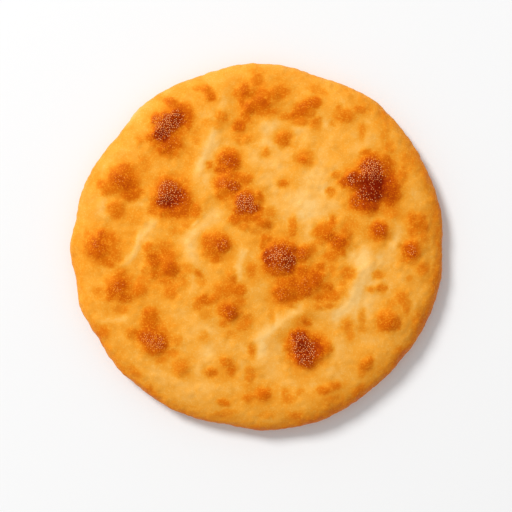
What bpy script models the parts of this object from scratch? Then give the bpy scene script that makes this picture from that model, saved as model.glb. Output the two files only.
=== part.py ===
"""A bhatura: a round leavened flatbread, puffed up in hot oil and settled into a soft pillow.

The bread is one closed piece. It lies flat with its blistered, browned side up. X runs along its
longest way, Y across it, and Z up from the surface that it rests on. The origin is at the middle
of its box, on that surface. Sizes below are in millimetres and the model is in metres.
"""

import math

import bmesh
import bpy
from mathutils import Vector, noise

MM = 0.001
FULL_TURN = 2.0 * math.pi

# The rim seen from above: its distance from the middle every 10 degrees, from +X towards +Y.
RIM_RADII = (99.5, 100.5, 100.0, 100.0, 100.0, 100.5, 99.0, 97.0, 98.0,
             98.5, 97.5, 96.5, 97.0, 97.5, 95.0, 96.5, 98.0, 98.0,
             100.0, 98.5, 100.0, 98.0, 98.5, 98.0, 98.0, 97.5, 96.5,
             98.0, 98.5, 99.0, 98.5, 98.0, 98.0, 99.0, 99.5, 100.0)

# The side view of the smooth bread, under all of its lumps.
WIDEST_HEIGHT = 7.0      # the level of the widest line round the rim
SHOULDER_RISE = 8.6      # from the widest line up to the shoulder
SHOULDER_INSET = 19.0    # from the widest line in to the shoulder
CROWN_RISE = 4.4         # from the shoulder up to the middle
REST_RADIUS = 60.0       # the flat spot that the bread lies on
UNDER_INSET = 13.0       # from the widest line in to the foot of the rim
UNDER_LIFT = 1.6         # how far the foot of the rim stays off the surface

# Soft unevenness of the dough: (height, length) of each set of lumps, and where each side's start.
TOP_LUMPS = ((1.2, 46.0), (0.6, 21.0), (0.25, 9.0))
RIM_LUMPS = ((0.4, 24.0), (0.35, 9.0))
UNDER_LUMPS = ((0.9, 26.0), (0.4, 11.0))
TOP_START = Vector((0.0, 0.0, 7.3))
RIM_START = Vector((0.0, 0.0, 0.0))
UNDER_START = Vector((0.0, 0.0, 3.1))

# How far the edges of blisters, folds and the flat spot stray from true, and over what length.
STRAY = 2.6
STRAY_LENGTH = 15.0
STRAY_X_START = Vector((5.7, 1.3, 0.0))
STRAY_Y_START = Vector((9.1, 4.2, 0.0))

# Blisters on the top: (x, y, radius, rise), the large ones with the lobes that run into them.
BLISTERS = (
    (-47.5, 67.0, 10.0, 2.0), (-51.5, 59.0, 6.5, 1.6), (-45.5, 77.0, 5.5, 0.9), (-49.5, 53.0, 8.0, 0.9),
    (-47.0, 29.0, 10.5, 2.0), (-38.5, 22.5, 8.0, 1.0),
    (61.0, 38.5, 10.5, 2.2), (61.5, 29.5, 8.5, 2.0), (51.5, 36.0, 6.5, 1.5), (71.0, 31.5, 8.0, 1.1),
    (58.5, 19.5, 7.0, 1.0),
    (-5.0, 23.0, 8.5, 1.8), (3.0, 14.5, 8.0, 1.0),
    (13.0, -5.5, 11.0, 2.2), (25.0, -3.5, 6.0, 1.2), (14.5, -23.0, 8.5, 1.3), (27.0, -20.5, 8.5, 1.4),
    (34.0, -17.0, 6.0, 1.0),
    (23.0, -50.5, 7.5, 1.6), (26.5, -59.0, 8.5, 2.0), (35.5, -53.0, 6.5, 1.1),
    (-73.0, 36.0, 11.0, 1.4), (-73.5, 20.5, 6.5, 0.8),
    (-84.0, 0.0, 9.0, 1.3), (-73.5, -22.0, 9.0, 1.3), (-62.0, -22.0, 6.5, 0.8),
    (-57.0, -2.0, 7.0, 1.1), (-54.5, -9.0, 7.5, 1.2), (-44.5, -10.0, 6.5, 1.2),
    (-14.0, 46.0, 7.5, 1.3), (-14.5, 34.0, 9.0, 1.2), (-21.0, 1.5, 9.0, 1.3),
    (-14.5, -34.5, 6.5, 1.3), (-54.5, -50.5, 9.5, 1.4), (-56.0, -37.5, 6.0, 0.9),
    (39.5, 7.5, 7.5, 1.1), (45.5, 2.0, 6.5, 1.2), (66.5, 9.5, 7.0, 1.3), (83.5, -1.0, 7.0, 1.2),
    (70.5, -40.0, 8.5, 1.3), (-5.0, 83.0, 6.0, 0.9), (6.0, 78.0, 9.5, 1.2), (-3.0, 73.5, 6.0, 0.9),
    (27.0, 74.0, 7.5, 1.1), (50.0, 69.0, 7.5, 0.7), (15.0, 58.0, 5.5, 0.7), (26.0, 46.5, 5.5, 0.7),
    (4.0, -78.5, 6.5, 0.9), (37.5, -75.5, 5.5, 0.8), (-39.0, -64.0, 6.0, 0.7), (-18.0, -61.0, 6.0, 0.8),
    (59.0, -62.0, 5.0, 0.7), (-26.0, 83.0, 5.5, 0.7), (87.0, 14.0, 6.5, 0.7),
)

# Pale folds that stand up a little between the blisters: (half width, rise, points along the fold).
FOLDS = (
    (8.0, 0.6, ((-17.0, 92.0), (-19.0, 76.0), (-24.5, 60.0), (-28.5, 48.0), (-33.0, 33.0))),
    (7.5, 0.6, ((-27.0, 24.0), (-33.0, 14.0), (-36.0, 3.0), (-35.0, -14.0))),
    (6.0, 0.4, ((-57.0, 12.0), (-61.5, 6.0), (-64.0, -2.0), (-71.0, -8.5))),
    (8.5, 0.7, ((60.0, -3.0), (56.5, -13.0), (46.5, -28.5), (38.0, -33.0), (25.0, -34.0),
                (15.0, -38.0), (8.0, -43.0), (3.0, -52.0), (2.5, -60.0))),
    (6.0, 0.3, ((-8.0, -3.0), (-7.5, -13.0))),
    (6.5, 0.5, ((74.0, 60.0), (80.0, 48.0), (88.0, 33.0))),
    (5.0, 0.4, ((-78.0, -39.0), (-66.0, -39.0))),
)

# The mesh: a fine ball first, then only as many triangles as the form needs.
BALL_SUBDIVISIONS = 6
KEPT_SHARE = 0.44

BREAD_COLOUR = (0.90, 0.47, 0.10, 1.0)
BREAD_ROUGHNESS = 0.5


def rim_radius(angle):
    """The rim's distance from the middle at any angle, read smoothly between the given ones."""
    count = len(RIM_RADII)
    place = angle % FULL_TURN / FULL_TURN * count
    first = int(place) % count
    t = place - int(place)
    before, start, end, after = (RIM_RADII[(first + step) % count] for step in (-1, 0, 1, 2))
    slope_in = (end - before) / 2.0
    slope_out = (after - start) / 2.0
    bend = 3.0 * (end - start) - 2.0 * slope_in - slope_out
    twist = 2.0 * (start - end) + slope_in + slope_out
    return start + t * (slope_in + t * (bend + t * twist))


def ease(share):
    """A smooth step from 0 to 1 as share goes from 0 to 1."""
    share = min(1.0, max(0.0, share))
    return share * share * (3.0 - 2.0 * share)


def swell(distance, radius):
    """A soft hump: 1 in its middle and 0 from its radius on."""
    if distance >= radius:
        return 0.0
    return (1.0 - (distance / radius) ** 2) ** 2


def along_profile(reach, radius, inset, rise):
    """Walk from the middle (reach 0) to the widest line (reach 1): a level run, then a quarter ellipse.

    Gives the distance from the middle, the share of the rise that is still there, and the
    outward and upward parts of the ellipse's normal.
    """
    level = radius - inset
    bend = math.pi / 2.0 * math.sqrt((inset ** 2 + rise ** 2) / 2.0)
    level_share = level / (level + bend)
    if reach <= level_share:
        return level * reach / level_share, 1.0, 0.0, 1.0
    turn = (reach - level_share) / (1.0 - level_share) * math.pi / 2.0
    return (level + inset * math.sin(turn), math.cos(turn),
            math.sin(turn) / inset, math.cos(turn) / rise)


def lumps(point, sets, start):
    """The sum of several sets of soft lumps at a point."""
    return sum(height * noise.noise(point / length + start) for height, length in sets)


def strayed(point):
    """The spot below a point, pushed a little to one side, as nothing in dough is truly round or straight."""
    spot = Vector((point.x, point.y, 0.0))
    place = spot / STRAY_LENGTH
    aside = Vector((noise.noise(place + STRAY_X_START), noise.noise(place + STRAY_Y_START), 0.0))
    return spot + STRAY * aside


def distance_to_path(spot, path):
    """The shortest distance from a spot to a line through the path's points."""
    shortest = math.inf
    for (ax, ay), (bx, by) in zip(path, path[1:]):
        run = Vector((bx - ax, by - ay, 0.0))
        offset = spot - Vector((ax, ay, 0.0))
        share = min(1.0, max(0.0, offset.dot(run) / run.dot(run)))
        shortest = min(shortest, (offset - run * share).length)
    return shortest


def top_relief(point):
    """How far the browned side stands out of the smooth bread: lumps, folds and blisters."""
    spot = strayed(point)
    folds = max(rise * swell(distance_to_path(spot, path), width) for width, rise, path in FOLDS)
    blisters = max(rise * swell((spot - Vector((x, y, 0.0))).length, radius)
                   for x, y, radius, rise in BLISTERS)
    return lumps(point, TOP_LUMPS, TOP_START) + max(folds, blisters)


def bread_point(direction):
    """Where a direction of the unit ball ends up on the bread; equal areas of one stay nearly equal."""
    angle = math.atan2(direction.y, direction.x)
    radius = rim_radius(angle)
    outward = Vector((math.cos(angle), math.sin(angle), 0.0))
    reach = math.sqrt(max(0.0, 1.0 - abs(direction.z)))

    if direction.z >= 0.0:
        distance, share, out, up = along_profile(reach, radius, SHOULDER_INSET, SHOULDER_RISE)
        crown = CROWN_RISE * swell(distance, radius)
        point = outward * distance + Vector((0.0, 0.0, WIDEST_HEIGHT + SHOULDER_RISE * share + crown))
        normal = (outward * out + Vector((0.0, 0.0, up))).normalized()
        rim = 1.0 - ease(share)
        bulge = top_relief(point) * (1.0 - rim) + lumps(point, RIM_LUMPS, RIM_START) * rim
        return point + normal * bulge

    under_rise = WIDEST_HEIGHT - UNDER_LIFT
    distance, share, out, up = along_profile(reach, radius, UNDER_INSET, under_rise)
    past_rest = strayed(outward * distance).length - REST_RADIUS
    off_rest = ease(past_rest / (radius - UNDER_INSET - REST_RADIUS))
    height = WIDEST_HEIGHT - under_rise * share - UNDER_LIFT * (1.0 - off_rest)
    point = outward * distance + Vector((0.0, 0.0, height))
    normal = (outward * out - Vector((0.0, 0.0, up))).normalized()
    rim = 1.0 - ease(share)
    under = lumps(point, UNDER_LUMPS, UNDER_START) * off_rest
    bulge = under * (1.0 - rim) + lumps(point, RIM_LUMPS, RIM_START) * rim
    point += normal * bulge
    point.z = max(0.0, point.z)
    return point


def centre_on_box(points):
    """Move the points so that the middle of their box is at x = 0 and y = 0."""
    middle_x = (min(p.x for p in points) + max(p.x for p in points)) / 2.0
    middle_y = (min(p.y for p in points) + max(p.y for p in points)) / 2.0
    return [Vector((p.x - middle_x, p.y - middle_y, p.z)) for p in points]


def bread_material():
    material = bpy.data.materials.new("bread")
    material.use_nodes = True
    shader = material.node_tree.nodes["Principled BSDF"]
    shader.inputs["Base Color"].default_value = BREAD_COLOUR
    shader.inputs["Roughness"].default_value = BREAD_ROUGHNESS
    shader.inputs["Metallic"].default_value = 0.0
    return material


def make_bhatura(collection):
    """The whole bread: a ball pressed into the bread's form, with its relief, then thinned."""
    ball = bmesh.new()
    bmesh.ops.create_icosphere(ball, subdivisions=BALL_SUBDIVISIONS, radius=1.0)
    points = centre_on_box([bread_point(vertex.co.normalized()) for vertex in ball.verts])
    for vertex, point in zip(ball.verts, points):
        vertex.co = point * MM
    mesh = bpy.data.meshes.new("bhatura")
    ball.to_mesh(mesh)
    ball.free()
    mesh.materials.append(bread_material())
    mesh.shade_smooth()

    bhatura = bpy.data.objects.new("bhatura", mesh)
    collection.objects.link(bhatura)
    thin = bhatura.modifiers.new("thin", "DECIMATE")
    thin.decimate_type = "COLLAPSE"
    thin.ratio = KEPT_SHARE
    return bhatura


def main():
    for old in list(bpy.data.objects):
        bpy.data.objects.remove(old, do_unlink=True)
    collection = bpy.data.collections.new("bhatura")
    bpy.context.scene.collection.children.link(collection)
    make_bhatura(collection)


main()
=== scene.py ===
# %% [markdown]
# # A bhatura, from dough to picture
#
# A bhatura is a leavened flatbread that puffs up in hot oil and then settles into a soft pillow.
# This notebook dresses a plain solid of the bread: it gives the skin its blisters, its browning,
# its grain of tiny burst bubbles and its thin shine of oil, and then sets up a plain studio.
# All sizes are real ones. X runs along the bread's longest way and Z points up.

# %% Load the solid bread
import math
import random

import bmesh
import bpy
import numpy as np
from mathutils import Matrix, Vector, noise


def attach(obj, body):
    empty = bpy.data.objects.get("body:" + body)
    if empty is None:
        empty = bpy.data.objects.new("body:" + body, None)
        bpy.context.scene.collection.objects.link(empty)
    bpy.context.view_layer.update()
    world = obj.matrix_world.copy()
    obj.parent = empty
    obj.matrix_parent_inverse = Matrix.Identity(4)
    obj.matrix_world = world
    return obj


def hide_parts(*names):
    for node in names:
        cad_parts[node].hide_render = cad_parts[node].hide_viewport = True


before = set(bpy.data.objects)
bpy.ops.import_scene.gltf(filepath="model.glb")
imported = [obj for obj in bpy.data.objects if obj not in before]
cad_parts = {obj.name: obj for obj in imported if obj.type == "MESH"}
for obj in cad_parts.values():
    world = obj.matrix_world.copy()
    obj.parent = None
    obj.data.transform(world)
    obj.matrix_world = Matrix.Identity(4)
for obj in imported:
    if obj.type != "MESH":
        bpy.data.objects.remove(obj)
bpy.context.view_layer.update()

MM = 0.001
BREAD = "bhatura"

# %% [markdown]
# ## The skin's mesh
#
# The solid has about nine thousand triangles of uneven size, which is enough for its weight and its
# outline but too coarse for skin. Subdividing it would keep the uneven pattern and pinch at every
# odd corner. A voxel remesh lays an even net over the same form instead, and a few rounds of
# smoothing take the last flat facets away.

# %% Lay an even net over the bread
NET = 0.88 * MM
WELD = 0.005 * MM
SMOOTHING_ROUNDS = 5
SMOOTHING_SHARE = 0.5


def copy_of_node(node, name):
    """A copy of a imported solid, with its loose triangles joined at their corners."""
    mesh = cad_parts[node].data.copy()
    mesh.name = name
    work = bmesh.new()
    work.from_mesh(mesh)
    bmesh.ops.remove_doubles(work, verts=work.verts, dist=WELD)
    work.to_mesh(mesh)
    work.free()
    mesh.materials.clear()
    piece = bpy.data.objects.new(name, mesh)
    bpy.context.scene.collection.objects.link(piece)
    return piece


def bake_modifiers(piece):
    """Turn what the modifiers show into the piece's own plain mesh."""
    graph = bpy.context.evaluated_depsgraph_get()
    result = bpy.data.meshes.new_from_object(piece.evaluated_get(graph))
    piece.modifiers.clear()
    piece.data = result
    result.name = piece.name
    return piece


skin = copy_of_node(BREAD, "bhatura_skin")
net = skin.modifiers.new("net", "REMESH")
net.mode = "VOXEL"
net.voxel_size = NET
relax = skin.modifiers.new("relax", "SMOOTH")
relax.factor = SMOOTHING_SHARE
relax.iterations = SMOOTHING_ROUNDS
bake_modifiers(skin)
print("skin net:", len(skin.data.vertices), "points,", len(skin.data.polygons), "faces")

# %% [markdown]
# ## Where the bread browned
#
# Browning follows the blisters: a bubble of steam lifts the skin, the thin cap darkens first, and
# an orange ring spreads round it. Each spot below is a listed ellipse: where it is, how wide and
# tall, how far it is turned, and how far it baked, from 0 for raw cream to 1 for nearly black. A
# dark spot is a wide, fainter ellipse with smaller, darker ones on it. Painting a picture would fix
# the size of the pixels; a list of spots stays sharp at any size and can be edited.

# %% The upper left spots
# Each spot is (x, y, half width, half height, turn in degrees, bake), with millimetres for sizes.
UPPER_LEFT = (
    (-44.4, 64.5, 11.4, 13.6, -15, 0.46), (-45.4, 77.0, 5.0, 3.2, -25, 0.55),
    (-39.0, 70.5, 6.2, 7.6, 0, 0.60), (-47.2, 66.6, 6.8, 5.8, 0, 0.77), (-42.4, 69.0, 4.6, 5.0, 0, 0.84),
    (-52.5, 67.0, 4.2, 5.0, 0, 0.65), (-40.0, 70.0, 3.2, 4.2, 0, 0.76), (-46.5, 64.5, 8.5, 4.6, 30, 0.81),
    (-50.5, 60.3, 5.2, 4.4, 0, 0.95), (-47.0, 55.5, 8.6, 7.0, 0, 0.60), (-49.0, 51.5, 4.5, 3.0, 0, 0.54),
    (-57.0, 58.5, 3.0, 3.0, 0, 0.50), (-62.0, 57.5, 3.2, 2.8, 0, 0.38), (-42.0, 56.0, 3.1, 4.0, 0, 0.54),
    (-36.8, 66.0, 3.2, 4.2, 0, 0.54), (-25.5, 83.0, 5.2, 3.4, -35, 0.48), (-24.0, 80.5, 3.4, 2.6, 0, 0.54),
    (-30.5, 84.6, 4.0, 1.4, -8, 0.38), (-18.5, 69.0, 4.6, 2.8, -40, 0.43), (-26.0, 66.0, 4.0, 3.0, 0, 0.33),
    (-46.0, 49.0, 6.0, 2.8, 0, 0.45), (-71.0, 36.5, 9.6, 8.4, 0, 0.53), (-72.0, 35.5, 6.6, 5.6, 0, 0.60),
    (-66.8, 33.0, 5.0, 5.6, 0, 0.58), (-69.5, 42.0, 5.0, 3.4, 0, 0.53), (-67.4, 28.0, 6.4, 4.4, 0, 0.56),
    (-82.0, 33.5, 4.4, 3.6, 0, 0.45), (-76.6, 36.6, 3.8, 5.4, 0, 0.51), (-77.0, 30.0, 5.5, 3.2, 0, 0.49),
    (-80.5, 29.0, 2.4, 2.4, 0, 0.44), (-62.5, 29.8, 3.4, 3.0, 0, 0.46), (-74.3, 20.0, 5.7, 6.0, 0, 0.48),
    (-74.5, 17.5, 3.2, 2.6, 0, 0.47), (-60.0, 44.5, 6.0, 6.0, 0, 0.35), (-65.0, 16.0, 7.0, 7.0, 0, 0.31),
    (-45.0, 27.0, 12.6, 12.0, 0, 0.49), (-47.0, 29.4, 7.2, 7.2, 0, 0.79), (-41.5, 27.0, 6.0, 6.2, 0, 0.80),
    (-46.6, 24.2, 8.0, 4.6, 0, 0.90), (-38.4, 24.4, 5.2, 7.0, 0, 0.62), (-41.5, 18.8, 7.8, 4.0, 0, 0.58),
    (-32.5, 19.5, 4.2, 4.6, 0, 0.49), (-48.4, 36.0, 5.0, 2.8, 0, 0.47), (-54.0, 24.0, 3.6, 6.0, 0, 0.47),
    (-55.0, 18.8, 3.6, 3.0, 0, 0.45), (-48.0, 18.0, 5.0, 3.2, 0, 0.52), (-20.0, 65.5, 4.0, 3.0, 0, 0.33),
    (-31.8, 59.4, 3.4, 6.0, 0, 0.35), (-43.0, 8.5, 4.2, 2.8, 0, 0.35), (-38.0, 12.4, 3.8, 3.0, 0, 0.35),
)
print(len(UPPER_LEFT), "spots")

# %% The upper middle spots
UPPER_MIDDLE = (
    (0.6, 89.0, 4.2, 5.4, 0, 0.46), (-6.0, 83.5, 4.0, 5.2, 0, 0.56), (-7.5, 78.0, 2.6, 5.6, 0, 0.50),
    (-10.5, 82.0, 3.2, 3.2, 0, 0.43), (3.0, 77.0, 6.6, 4.4, 0, 0.58), (2.0, 81.0, 8.6, 5.2, 0, 0.49),
    (12.0, 82.0, 7.6, 5.0, 16, 0.47), (5.0, 72.6, 9.0, 3.2, 0, 0.46), (-3.0, 74.0, 4.2, 4.2, 0, 0.58),
    (-5.5, 69.5, 3.2, 4.2, 20, 0.50), (-8.8, 64.8, 4.2, 3.8, 0, 0.58), (25.0, 73.8, 8.0, 4.0, 36, 0.57),
    (31.4, 76.5, 4.6, 3.2, 35, 0.58), (23.0, 71.2, 5.6, 3.2, 8, 0.52), (30.0, 71.0, 3.0, 2.4, 30, 0.44),
    (16.0, 69.5, 4.8, 2.6, -5, 0.44), (22.5, 75.4, 3.6, 2.4, 20, 0.42), (24.0, 67.2, 6.6, 2.6, 0, 0.43),
    (32.0, 66.0, 3.6, 4.0, 0, 0.40), (33.0, 67.8, 3.2, 1.5, 30, 0.41), (15.0, 57.8, 5.0, 5.2, 0, 0.46),
    (14.8, 57.0, 3.4, 3.4, 0, 0.46), (5.2, 50.0, 2.6, 2.7, 0, 0.38), (25.8, 47.2, 6.3, 5.4, 0, 0.41),
    (26.0, 46.0, 3.2, 2.4, 0, 0.50), (14.8, 34.4, 3.4, 2.7, 0, 0.48), (-14.5, 46.4, 6.8, 6.4, 0, 0.62),
    (-12.5, 45.0, 4.8, 4.8, 0, 0.63), (-24.5, 44.0, 2.8, 2.4, 0, 0.45), (-15.2, 34.4, 7.8, 6.2, 0, 0.57),
    (-12.0, 32.2, 4.8, 3.8, 0, 0.68), (-18.0, 33.0, 4.8, 4.0, 0, 0.58), (-6.0, 36.0, 4.4, 4.2, 0, 0.53),
    (-18.5, 27.8, 5.2, 3.4, 0, 0.48), (-12.0, 38.6, 6.0, 2.6, 0, 0.50), (-12.5, 28.0, 4.6, 2.6, 0, 0.51),
    (-7.0, 58.0, 7.0, 4.0, 0, 0.38), (-17.4, 41.0, 5.4, 3.2, 0, 0.58), (-5.8, 24.0, 6.0, 6.3, 0, 0.79),
    (-1.5, 20.5, 3.8, 3.2, 0, 0.75), (2.2, 26.6, 2.6, 4.6, 0, 0.52), (-8.8, 19.5, 4.0, 4.2, 0, 0.64),
    (-11.0, 14.6, 4.0, 3.6, 0, 0.55), (-3.0, 16.0, 8.0, 3.8, 0, 0.53), (4.0, 12.5, 5.0, 3.4, 0, 0.50),
    (6.0, 12.0, 2.6, 2.0, 0, 0.50), (-6.0, 10.6, 5.0, 2.4, 0, 0.42), (0.0, 8.2, 6.0, 2.4, 0, 0.35),
    (19.5, 11.0, 2.6, 5.4, 0, 0.43), (19.4, 7.5, 2.6, 2.0, 0, 0.46), (5.5, 4.4, 3.8, 3.0, 0, 0.47),
    (7.5, 18.5, 3.6, 4.0, 0, 0.36), (2.0, 19.6, 2.6, 3.2, 0, 0.54),
)
print(len(UPPER_MIDDLE), "spots")

# %% The upper right spots
UPPER_RIGHT = (
    (47.2, 70.2, 6.4, 4.4, 0, 0.44), (44.0, 74.6, 2.4, 2.4, 0, 0.40), (55.5, 73.6, 3.8, 3.0, 0, 0.43),
    (57.0, 62.0, 2.2, 5.0, 0, 0.38), (41.0, 66.0, 1.7, 1.7, 0, 0.35), (69.5, 57.0, 3.4, 11.0, 6, 0.32),
    (81.0, 46.0, 3.6, 7.5, 25, 0.37), (72.0, 18.0, 5.0, 4.0, 0, 0.38), (71.5, 53.5, 4.0, 4.0, 0, 0.38),
    (78.5, 39.0, 3.4, 6.0, 0, 0.42), (64.0, 32.4, 14.4, 14.4, 0, 0.48), (62.0, 41.5, 7.2, 6.6, 0, 0.84),
    (62.6, 34.4, 7.6, 6.8, 0, 1.0), (61.0, 28.5, 7.2, 5.6, 0, 0.96), (65.5, 30.5, 4.8, 6.0, 0, 0.90),
    (53.2, 36.2, 6.2, 4.8, 0, 0.83), (57.6, 33.0, 6.0, 6.4, 0, 0.82), (47.0, 34.5, 3.4, 3.0, 0, 0.60),
    (62.0, 47.0, 6.0, 4.2, 0, 0.58), (58.5, 50.4, 3.4, 2.0, 0, 0.46), (70.0, 36.0, 5.6, 9.0, 0, 0.63),
    (71.9, 30.2, 5.8, 8.4, 0, 0.69), (71.5, 25.0, 5.0, 4.2, 0, 0.56), (60.6, 22.5, 6.8, 4.4, 0, 0.73),
    (53.5, 24.2, 4.6, 4.8, 0, 0.66), (69.5, 44.5, 4.6, 5.2, 0, 0.58), (43.2, 38.2, 3.2, 2.6, 0, 0.42),
    (40.5, 29.5, 2.8, 2.8, 0, 0.43), (66.2, 9.2, 4.6, 4.8, 0, 0.66), (65.8, 8.3, 6.8, 6.0, 0, 0.50),
    (35.2, 7.6, 5.4, 5.0, 0, 0.48), (39.5, 5.5, 4.0, 3.8, 0, 0.60), (44.6, 2.2, 5.4, 5.0, 0, 0.64),
    (41.0, 13.0, 2.6, 4.4, 0, 0.48), (38.5, 10.0, 4.4, 4.6, 0, 0.46), (44.5, -2.6, 4.2, 3.0, 0, 0.52),
    (48.6, 7.0, 3.6, 4.4, 0, 0.45), (50.5, 12.0, 5.4, 4.0, 0, 0.34), (40.0, -5.0, 5.4, 4.0, 0, 0.44),
    (34.0, 2.0, 4.0, 2.4, 0, 0.41), (86.0, 12.6, 5.2, 6.4, 0, 0.45), (83.5, 15.5, 2.6, 3.4, 0, 0.46),
    (89.4, 12.4, 2.8, 5.6, 8, 0.48), (84.0, 7.6, 3.6, 3.4, 0, 0.42), (90.0, 6.0, 4.0, 6.0, 0, 0.39),
    (61.0, 18.5, 7.0, 3.0, 0, 0.41), (33.0, 84.0, 7.0, 3.0, -20, 0.36),
)
print(len(UPPER_RIGHT), "spots")

# %% The middle spots
MIDDLE = (
    (12.8, -5.0, 11.2, 11.0, 0, 0.52), (13.0, -5.2, 8.6, 8.3, 0, 0.78), (17.4, -8.0, 4.6, 5.4, 0, 0.84),
    (6.4, -6.0, 3.4, 5.4, 12, 0.82), (3.4, 0.4, 2.0, 3.0, 0, 0.48), (18.0, -12.2, 3.8, 3.2, 0, 0.74),
    (6.0, -11.0, 4.0, 3.8, 0, 0.56), (12.0, -13.0, 6.6, 3.6, 0, 0.60), (17.0, -20.5, 8.4, 8.4, 0, 0.48),
    (25.0, -4.0, 5.2, 4.8, 0, 0.60), (30.0, -1.0, 3.4, 3.2, 0, 0.47), (14.5, -25.0, 6.8, 5.4, 0, 0.61),
    (14.5, -19.0, 5.2, 4.0, 0, 0.50), (25.5, -22.5, 6.2, 5.6, 0, 0.60), (28.0, -18.6, 9.2, 9.4, 0, 0.49),
    (24.5, -13.0, 5.2, 4.4, 0, 0.55), (32.2, -17.0, 5.0, 6.2, 0, 0.60), (20.0, -19.0, 3.6, 5.0, 0, 0.55),
    (34.5, -11.0, 3.0, 3.2, 0, 0.53), (35.5, -27.0, 6.0, 3.4, 0, 0.49), (41.5, -26.0, 4.2, 4.0, 0, 0.44),
    (39.0, -31.4, 4.0, 1.8, 0, 0.42), (34.0, -32.6, 4.0, 2.0, 0, 0.36), (8.0, -36.0, 2.4, 5.0, 0, 0.31),
    (26.5, -18.2, 3.4, 3.4, 0, 0.60), (46.5, -19.0, 3.0, 2.6, 0, 0.34), (-8.0, -43.4, 4.0, 2.4, 0, 0.40),
    (-41.0, -18.5, 6.6, 6.6, 0, 0.35), (-2.5, -12.5, 3.2, 5.0, 0, 0.41), (26.0, -39.8, 4.6, 3.4, 0, 0.42),
    (27.0, -40.6, 3.0, 2.6, 0, 0.49), (-5.5, -39.5, 5.0, 4.6, 0, 0.41), (-26.5, -36.0, 4.4, 4.0, 0, 0.33),
    (-21.4, 1.4, 7.8, 6.8, 0, 0.55), (-18.0, 1.4, 5.0, 5.0, 0, 0.65), (-21.5, -5.6, 4.0, 3.8, 0, 0.52),
    (-26.8, 3.2, 3.2, 4.2, 0, 0.50), (-31.0, -14.2, 3.9, 2.0, -45, 0.46), (-29.0, -18.0, 4.0, 4.0, 0, 0.33),
    (-37.0, -12.0, 4.0, 3.4, 0, 0.36), (-13.5, -17.6, 3.6, 5.2, 0, 0.44), (-16.5, -23.5, 7.2, 5.6, 0, 0.44),
    (-9.0, -23.6, 4.4, 4.2, 0, 0.51), (-27.5, -28.5, 5.0, 3.6, 0, 0.54), (-22.0, -27.0, 3.6, 2.8, 0, 0.47),
    (-31.0, -31.5, 3.4, 4.0, 0, 0.41), (-13.5, -34.8, 5.2, 5.0, 0, 0.64), (-17.5, -34.0, 3.8, 4.0, 0, 0.51),
    (-17.0, -41.0, 3.3, 2.3, 0, 0.45), (-8.5, -29.6, 3.2, 3.2, 0, 0.42),
    (-15.0, -28.0, 11.0, 11.0, 0, 0.36), (48.6, -14.2, 4.8, 4.0, 0, 0.43), (46.5, -24.0, 2.6, 3.8, 0, 0.33),
    (65.5, -14.8, 3.6, 2.6, 0, 0.40), (67.0, -22.3, 3.3, 2.4, 0, 0.43), (62.0, -23.0, 2.8, 1.8, 0, 0.37),
    (20.0, -3.0, 2.8, 4.0, 0, 0.70), (20.5, -27.0, 5.6, 3.0, 0, 0.51), (38.0, -22.0, 3.6, 4.0, 0, 0.51),
    (17.0, -30.5, 5.0, 3.0, 0, 0.39), (40.5, -12.0, 2.8, 5.5, 0, 0.35), (-27.0, -4.0, 3.0, 3.0, 0, 0.40),
)
print(len(MIDDLE), "spots")

# %% The left spots
LEFT = (
    (-82.0, 0.0, 12.0, 10.6, 0, 0.45), (-84.3, -1.3, 6.1, 5.9, 0, 0.60), (-82.0, 5.5, 4.0, 5.0, 0, 0.56),
    (-86.0, 2.5, 4.6, 3.6, 0, 0.58), (-75.0, -5.0, 5.0, 5.2, 0, 0.43), (-80.0, -8.0, 6.0, 3.0, 0, 0.46),
    (-77.5, -9.4, 2.6, 2.6, 0, 0.50), (-78.0, 5.0, 3.4, 3.4, 0, 0.48), (-90.0, -1.5, 2.6, 4.6, 0, 0.44),
    (-90.0, 6.0, 3.0, 4.0, 0, 0.38), (-84.0, -24.0, 4.0, 4.0, 0, 0.36), (-73.0, -21.0, 8.6, 8.6, 0, 0.49),
    (-72.6, -21.0, 4.8, 5.0, 0, 0.62), (-77.0, -24.0, 4.0, 4.0, 0, 0.54), (-72.5, -15.0, 4.0, 4.0, 0, 0.46),
    (-69.8, -27.0, 4.8, 3.2, 0, 0.55), (-62.5, -23.0, 5.4, 4.6, 0, 0.48), (-72.3, -32.8, 6.2, 3.2, 0, 0.38),
    (-50.0, -7.0, 9.6, 9.4, 0, 0.46), (-57.5, -1.0, 3.8, 3.4, 0, 0.45), (-49.6, 0.8, 5.6, 3.4, 0, 0.37),
    (-54.5, -7.6, 4.2, 5.2, 0, 0.55), (-54.0, -14.4, 4.6, 3.2, 0, 0.49), (-45.4, -12.0, 5.6, 5.0, 0, 0.60),
    (-47.0, -5.0, 4.6, 4.6, 0, 0.46), (-60.0, -12.5, 2.4, 2.4, 0, 0.40), (-60.0, -18.0, 5.0, 4.0, 0, 0.39),
    (-48.0, -18.0, 5.0, 3.0, 0, 0.45), (-45.6, -24.2, 4.8, 4.8, 0, 0.44), (-56.5, -36.5, 5.4, 5.0, 0, 0.53),
    (-57.0, -42.5, 5.8, 4.6, 0, 0.55), (-54.0, -51.0, 7.8, 7.8, 0, 0.63), (-58.5, -48.5, 5.0, 4.0, 0, 0.62),
    (-50.5, -51.5, 4.8, 6.2, 0, 0.61), (-54.5, -49.0, 10.6, 11.0, 0, 0.45),
    (-42.0, -50.0, 3.4, 4.4, 0, 0.34), (-66.0, -46.6, 4.4, 3.2, 0, 0.46), (-61.0, -47.5, 4.0, 3.8, 0, 0.56),
    (-51.0, -60.4, 4.0, 2.8, 0, 0.39), (-78.0, -27.5, 3.0, 2.6, 0, 0.50), (-45.5, -57.0, 5.0, 3.0, 0, 0.40),
)
print(len(LEFT), "spots")

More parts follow.
